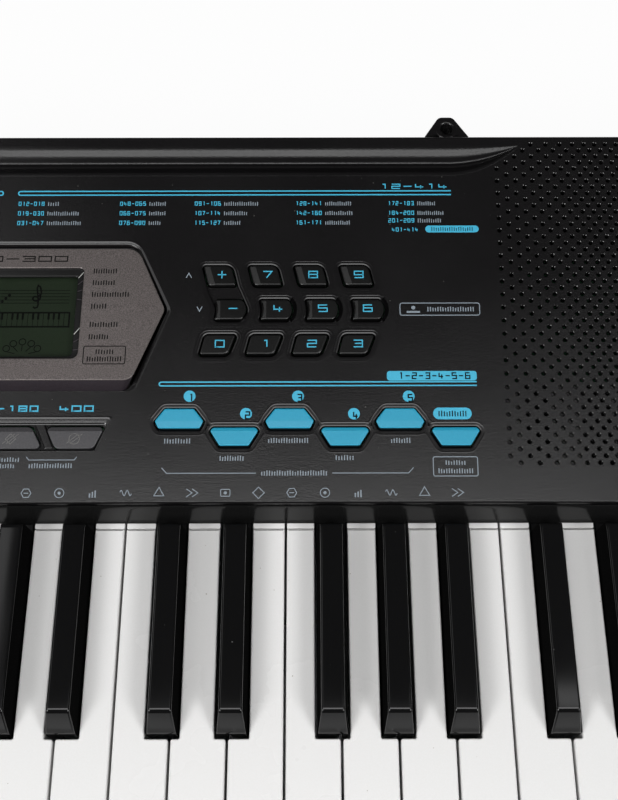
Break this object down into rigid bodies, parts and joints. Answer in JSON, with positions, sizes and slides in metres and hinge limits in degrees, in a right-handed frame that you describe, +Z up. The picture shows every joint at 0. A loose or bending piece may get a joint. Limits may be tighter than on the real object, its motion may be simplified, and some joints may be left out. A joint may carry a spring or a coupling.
{
  "type": "arranger keyboard",
  "caption": "Home electronic keyboard with hinged piano keys, sloping control panel with display, pads and number buttons, two speakers, and a rear ledge with stand tabs.",
  "frame": {"origin": "bottom centre of the instrument's box, on the surface it stands on", "axes": "+X along the keys from bass to treble, +Y to the rear, +Z up"},
  "size_m": [0.949, 0.348, 0.1029],
  "materials": {
    "black_satin": "fine-textured satin black plastic",
    "gloss_black": "polished black plastic",
    "bronze_grey": "fine metallic bronze-grey paint",
    "clear_pane": "clear acrylic pane",
    "lcd_glass": "dark green liquid crystal panel",
    "grey_steel": "zinc-plated pressed sheet",
    "bright_steel": "ground steel rod",
    "contact_rubber": "grey silicone rubber",
    "board_green": "green circuit board",
    "speaker_cone": "black paper cone in a steel basket",
    "jack_black": "black socket moulding",
    "foot_rubber": "black rubber",
    "black_screw": "black oxide",
    "button_black": "smooth black plastic",
    "button_grey": "dark grey plastic",
    "pad_blue": "sky-blue plastic",
    "button_metal_grey": "metallic dark grey paint",
    "key_white": "semi-gloss white plastic",
    "key_black": "gloss black plastic"
  },
  "bodies": {
    "case": {"upper_case": "black_satin", "lower_case": "black_satin", "fallboard_strip": "gloss_black", "display_bezel": "bronze_grey", "display_window": "clear_pane", "lcd_module": "lcd_glass", "key_frame": "grey_steel", "key_pivot_rod": "bright_steel", "key_contact_strip": "contact_rubber", "button_boards": "board_green", "main_board": "board_green", "left_speaker": "speaker_cone", "right_speaker": "speaker_cone", "rear_jacks": "jack_black", "rubber_feet": "foot_rubber", "case_screws": "black_screw"},
    "plus_button_body": {"plus_button": "button_black"},
    "number_7_button_body": {"number_7_button": "button_black"},
    "number_8_button_body": {"number_8_button": "button_black"},
    "number_9_button_body": {"number_9_button": "button_black"},
    "minus_button_body": {"minus_button": "button_black"},
    "number_4_button_body": {"number_4_button": "button_black"},
    "number_5_button_body": {"number_5_button": "button_black"},
    "number_6_button_body": {"number_6_button": "button_black"},
    "number_0_button_body": {"number_0_button": "button_black"},
    "number_1_button_body": {"number_1_button": "button_black"},
    "number_2_button_body": {"number_2_button": "button_black"},
    "number_3_button_body": {"number_3_button": "button_black"},
    "voice_pad_1_body": {"voice_pad_1": "pad_blue"},
    "voice_pad_2_body": {"voice_pad_2": "pad_blue"},
    "voice_pad_3_body": {"voice_pad_3": "pad_blue"},
    "voice_pad_4_body": {"voice_pad_4": "pad_blue"},
    "voice_pad_5_body": {"voice_pad_5": "pad_blue"},
    "voice_pad_6_body": {"voice_pad_6": "pad_blue"},
    "song_button_body": {"song_button": "button_metal_grey"},
    "rhythm_button_body": {"rhythm_button": "button_metal_grey"},
    "tone_button_body": {"tone_button": "button_metal_grey"},
    "power_button_body": {"power_button": "button_black"},
    "left_panel_buttons_body": {"left_panel_buttons": "button_grey"},
    "white_key_b4_body": {"white_key_b4": "key_white"},
    "white_key_c5_body": {"white_key_c5": "key_white"},
    "white_key_d5_body": {"white_key_d5": "key_white"},
    "white_key_e5_body": {"white_key_e5": "key_white"},
    "white_key_f5_body": {"white_key_f5": "key_white"},
    "white_key_g5_body": {"white_key_g5": "key_white"},
    "white_key_a5_body": {"white_key_a5": "key_white"},
    "white_key_b5_body": {"white_key_b5": "key_white"},
    "white_key_c6_body": {"white_key_c6": "key_white"},
    "black_key_as4_body": {"black_key_as4": "key_black"},
    "black_key_cs5_body": {"black_key_cs5": "key_black"},
    "black_key_ds5_body": {"black_key_ds5": "key_black"},
    "black_key_fs5_body": {"black_key_fs5": "key_black"},
    "black_key_gs5_body": {"black_key_gs5": "key_black"},
    "black_key_as5_body": {"black_key_as5": "key_black"},
    "low_white_keys_body": {"low_white_keys": "key_white"},
    "low_black_keys_body": {"low_black_keys": "key_black"},
    "high_white_keys_body": {"high_white_keys": "key_white"},
    "high_black_keys_body": {"high_black_keys": "key_black"},
    "volume_knob_body": {"volume_knob": "button_black"},
    "battery_cover_body": {"battery_cover": "black_satin"}
  },
  "joints": [
    {"name": "plus_button_press", "type": "slide", "parent": "case", "child": "plus_button_body", "axis": [0, 0.1599, -0.9871], "range_m": [0, 0.0013], "stiffness_N_per_m": 400, "springref_m": -0.002},
    {"name": "number_7_button_press", "type": "slide", "parent": "case", "child": "number_7_button_body", "axis": [0, 0.1599, -0.9871], "range_m": [0, 0.0013], "stiffness_N_per_m": 400, "springref_m": -0.002},
    {"name": "number_8_button_press", "type": "slide", "parent": "case", "child": "number_8_button_body", "axis": [0, 0.1599, -0.9871], "range_m": [0, 0.0013], "stiffness_N_per_m": 400, "springref_m": -0.002},
    {"name": "number_9_button_press", "type": "slide", "parent": "case", "child": "number_9_button_body", "axis": [0, 0.1599, -0.9871], "range_m": [0, 0.0013], "stiffness_N_per_m": 400, "springref_m": -0.002},
    {"name": "minus_button_press", "type": "slide", "parent": "case", "child": "minus_button_body", "axis": [0, 0.1599, -0.9871], "range_m": [0, 0.0013], "stiffness_N_per_m": 400, "springref_m": -0.002},
    {"name": "number_4_button_press", "type": "slide", "parent": "case", "child": "number_4_button_body", "axis": [0, 0.1599, -0.9871], "range_m": [0, 0.0013], "stiffness_N_per_m": 400, "springref_m": -0.002},
    {"name": "number_5_button_press", "type": "slide", "parent": "case", "child": "number_5_button_body", "axis": [0, 0.1599, -0.9871], "range_m": [0, 0.0013], "stiffness_N_per_m": 400, "springref_m": -0.002},
    {"name": "number_6_button_press", "type": "slide", "parent": "case", "child": "number_6_button_body", "axis": [0, 0.1599, -0.9871], "range_m": [0, 0.0013], "stiffness_N_per_m": 400, "springref_m": -0.002},
    {"name": "number_0_button_press", "type": "slide", "parent": "case", "child": "number_0_button_body", "axis": [0, 0.1599, -0.9871], "range_m": [0, 0.0013], "stiffness_N_per_m": 400, "springref_m": -0.002},
    {"name": "number_1_button_press", "type": "slide", "parent": "case", "child": "number_1_button_body", "axis": [0, 0.1599, -0.9871], "range_m": [0, 0.0013], "stiffness_N_per_m": 400, "springref_m": -0.002},
    {"name": "number_2_button_press", "type": "slide", "parent": "case", "child": "number_2_button_body", "axis": [0, 0.1599, -0.9871], "range_m": [0, 0.0013], "stiffness_N_per_m": 400, "springref_m": -0.002},
    {"name": "number_3_button_press", "type": "slide", "parent": "case", "child": "number_3_button_body", "axis": [0, 0.1599, -0.9871], "range_m": [0, 0.0013], "stiffness_N_per_m": 400, "springref_m": -0.002},
    {"name": "voice_pad_1_press", "type": "slide", "parent": "case", "child": "voice_pad_1_body", "axis": [0, 0.1599, -0.9871], "range_m": [0, 0.0013], "stiffness_N_per_m": 400, "springref_m": -0.002},
    {"name": "voice_pad_2_press", "type": "slide", "parent": "case", "child": "voice_pad_2_body", "axis": [0, 0.1599, -0.9871], "range_m": [0, 0.0013], "stiffness_N_per_m": 400, "springref_m": -0.002},
    {"name": "voice_pad_3_press", "type": "slide", "parent": "case", "child": "voice_pad_3_body", "axis": [0, 0.1599, -0.9871], "range_m": [0, 0.0013], "stiffness_N_per_m": 400, "springref_m": -0.002},
    {"name": "voice_pad_4_press", "type": "slide", "parent": "case", "child": "voice_pad_4_body", "axis": [0, 0.1599, -0.9871], "range_m": [0, 0.0013], "stiffness_N_per_m": 400, "springref_m": -0.002},
    {"name": "voice_pad_5_press", "type": "slide", "parent": "case", "child": "voice_pad_5_body", "axis": [0, 0.1599, -0.9871], "range_m": [0, 0.0013], "stiffness_N_per_m": 400, "springref_m": -0.002},
    {"name": "voice_pad_6_press", "type": "slide", "parent": "case", "child": "voice_pad_6_body", "axis": [0, 0.1599, -0.9871], "range_m": [0, 0.0013], "stiffness_N_per_m": 400, "springref_m": -0.002},
    {"name": "song_button_press", "type": "slide", "parent": "case", "child": "song_button_body", "axis": [0, 0.1599, -0.9871], "range_m": [0, 0.0013], "stiffness_N_per_m": 400, "springref_m": -0.002},
    {"name": "rhythm_button_press", "type": "slide", "parent": "case", "child": "rhythm_button_body", "axis": [0, 0.1599, -0.9871], "range_m": [0, 0.0013], "stiffness_N_per_m": 400, "springref_m": -0.002},
    {"name": "tone_button_press", "type": "slide", "parent": "case", "child": "tone_button_body", "axis": [0, 0.1599, -0.9871], "range_m": [0, 0.0013], "stiffness_N_per_m": 400, "springref_m": -0.002},
    {"name": "power_button_press", "type": "slide", "parent": "case", "child": "power_button_body", "axis": [0, 0.1599, -0.9871], "range_m": [0, 0.0013], "stiffness_N_per_m": 400, "springref_m": -0.002},
    {"name": "left_panel_buttons_press", "type": "slide", "parent": "case", "child": "left_panel_buttons_body", "axis": [0, 0.1599, -0.9871], "range_m": [0, 0.0013], "stiffness_N_per_m": 800, "springref_m": -0.00187},
    {"name": "white_key_b4_swing", "type": "hinge", "parent": "case", "child": "white_key_b4_body", "pos_m": [0, 0.042, 0.052], "axis": [1, 0, 0], "range_deg": [0, 2.8], "stiffness_Nm_per_rad": 0.8, "springref_deg": -6.45},
    {"name": "white_key_c5_swing", "type": "hinge", "parent": "case", "child": "white_key_c5_body", "pos_m": [0, 0.042, 0.052], "axis": [1, 0, 0], "range_deg": [0, 2.8], "stiffness_Nm_per_rad": 0.8, "springref_deg": -6.45},
    {"name": "white_key_d5_swing", "type": "hinge", "parent": "case", "child": "white_key_d5_body", "pos_m": [0, 0.042, 0.052], "axis": [1, 0, 0], "range_deg": [0, 2.8], "stiffness_Nm_per_rad": 0.8, "springref_deg": -6.45},
    {"name": "white_key_e5_swing", "type": "hinge", "parent": "case", "child": "white_key_e5_body", "pos_m": [0, 0.042, 0.052], "axis": [1, 0, 0], "range_deg": [0, 2.8], "stiffness_Nm_per_rad": 0.8, "springref_deg": -6.45},
    {"name": "white_key_f5_swing", "type": "hinge", "parent": "case", "child": "white_key_f5_body", "pos_m": [0, 0.042, 0.052], "axis": [1, 0, 0], "range_deg": [0, 2.8], "stiffness_Nm_per_rad": 0.8, "springref_deg": -6.45},
    {"name": "white_key_g5_swing", "type": "hinge", "parent": "case", "child": "white_key_g5_body", "pos_m": [0, 0.042, 0.052], "axis": [1, 0, 0], "range_deg": [0, 2.8], "stiffness_Nm_per_rad": 0.8, "springref_deg": -6.45},
    {"name": "white_key_a5_swing", "type": "hinge", "parent": "case", "child": "white_key_a5_body", "pos_m": [0, 0.042, 0.052], "axis": [1, 0, 0], "range_deg": [0, 2.8], "stiffness_Nm_per_rad": 0.8, "springref_deg": -6.45},
    {"name": "white_key_b5_swing", "type": "hinge", "parent": "case", "child": "white_key_b5_body", "pos_m": [0, 0.042, 0.052], "axis": [1, 0, 0], "range_deg": [0, 2.8], "stiffness_Nm_per_rad": 0.8, "springref_deg": -6.45},
    {"name": "white_key_c6_swing", "type": "hinge", "parent": "case", "child": "white_key_c6_body", "pos_m": [0, 0.042, 0.052], "axis": [1, 0, 0], "range_deg": [0, 2.8], "stiffness_Nm_per_rad": 0.8, "springref_deg": -6.45},
    {"name": "black_key_as4_swing", "type": "hinge", "parent": "case", "child": "black_key_as4_body", "pos_m": [0, 0.042, 0.052], "axis": [1, 0, 0], "range_deg": [0, 2.8], "stiffness_Nm_per_rad": 0.8, "springref_deg": -5.73},
    {"name": "black_key_cs5_swing", "type": "hinge", "parent": "case", "child": "black_key_cs5_body", "pos_m": [0, 0.042, 0.052], "axis": [1, 0, 0], "range_deg": [0, 2.8], "stiffness_Nm_per_rad": 0.8, "springref_deg": -5.73},
    {"name": "black_key_ds5_swing", "type": "hinge", "parent": "case", "child": "black_key_ds5_body", "pos_m": [0, 0.042, 0.052], "axis": [1, 0, 0], "range_deg": [0, 2.8], "stiffness_Nm_per_rad": 0.8, "springref_deg": -5.73},
    {"name": "black_key_fs5_swing", "type": "hinge", "parent": "case", "child": "black_key_fs5_body", "pos_m": [0, 0.042, 0.052], "axis": [1, 0, 0], "range_deg": [0, 2.8], "stiffness_Nm_per_rad": 0.8, "springref_deg": -5.73},
    {"name": "black_key_gs5_swing", "type": "hinge", "parent": "case", "child": "black_key_gs5_body", "pos_m": [0, 0.042, 0.052], "axis": [1, 0, 0], "range_deg": [0, 2.8], "stiffness_Nm_per_rad": 0.8, "springref_deg": -5.73},
    {"name": "black_key_as5_swing", "type": "hinge", "parent": "case", "child": "black_key_as5_body", "pos_m": [0, 0.042, 0.052], "axis": [1, 0, 0], "range_deg": [0, 2.8], "stiffness_Nm_per_rad": 0.8, "springref_deg": -5.73},
    {"name": "low_white_keys_swing", "type": "hinge", "parent": "case", "child": "low_white_keys_body", "pos_m": [0, 0.042, 0.052], "axis": [1, 0, 0], "range_deg": [0, 2.8], "stiffness_Nm_per_rad": 16, "springref_deg": -6.45},
    {"name": "low_black_keys_swing", "type": "hinge", "parent": "case", "child": "low_black_keys_body", "pos_m": [0, 0.042, 0.052], "axis": [1, 0, 0], "range_deg": [0, 2.8], "stiffness_Nm_per_rad": 11, "springref_deg": -5.83},
    {"name": "high_white_keys_swing", "type": "hinge", "parent": "case", "child": "high_white_keys_body", "pos_m": [0, 0.042, 0.052], "axis": [1, 0, 0], "range_deg": [0, 2.8], "stiffness_Nm_per_rad": 5.6, "springref_deg": -6.45},
    {"name": "high_black_keys_swing", "type": "hinge", "parent": "case", "child": "high_black_keys_body", "pos_m": [0, 0.042, 0.052], "axis": [1, 0, 0], "range_deg": [0, 2.8], "stiffness_Nm_per_rad": 4, "springref_deg": -5.73},
    {"name": "volume_turn", "type": "hinge", "parent": "case", "child": "volume_knob_body", "pos_m": [-0.205, 0.08178, 0.09037], "axis": [0, -0.1599, 0.9871], "range_deg": [-150, 150]},
    {"name": "battery_cover_release", "type": "slide", "parent": "case", "child": "battery_cover_body", "axis": [0, 0, -1], "range_m": [0, 0.03]}
  ]
}
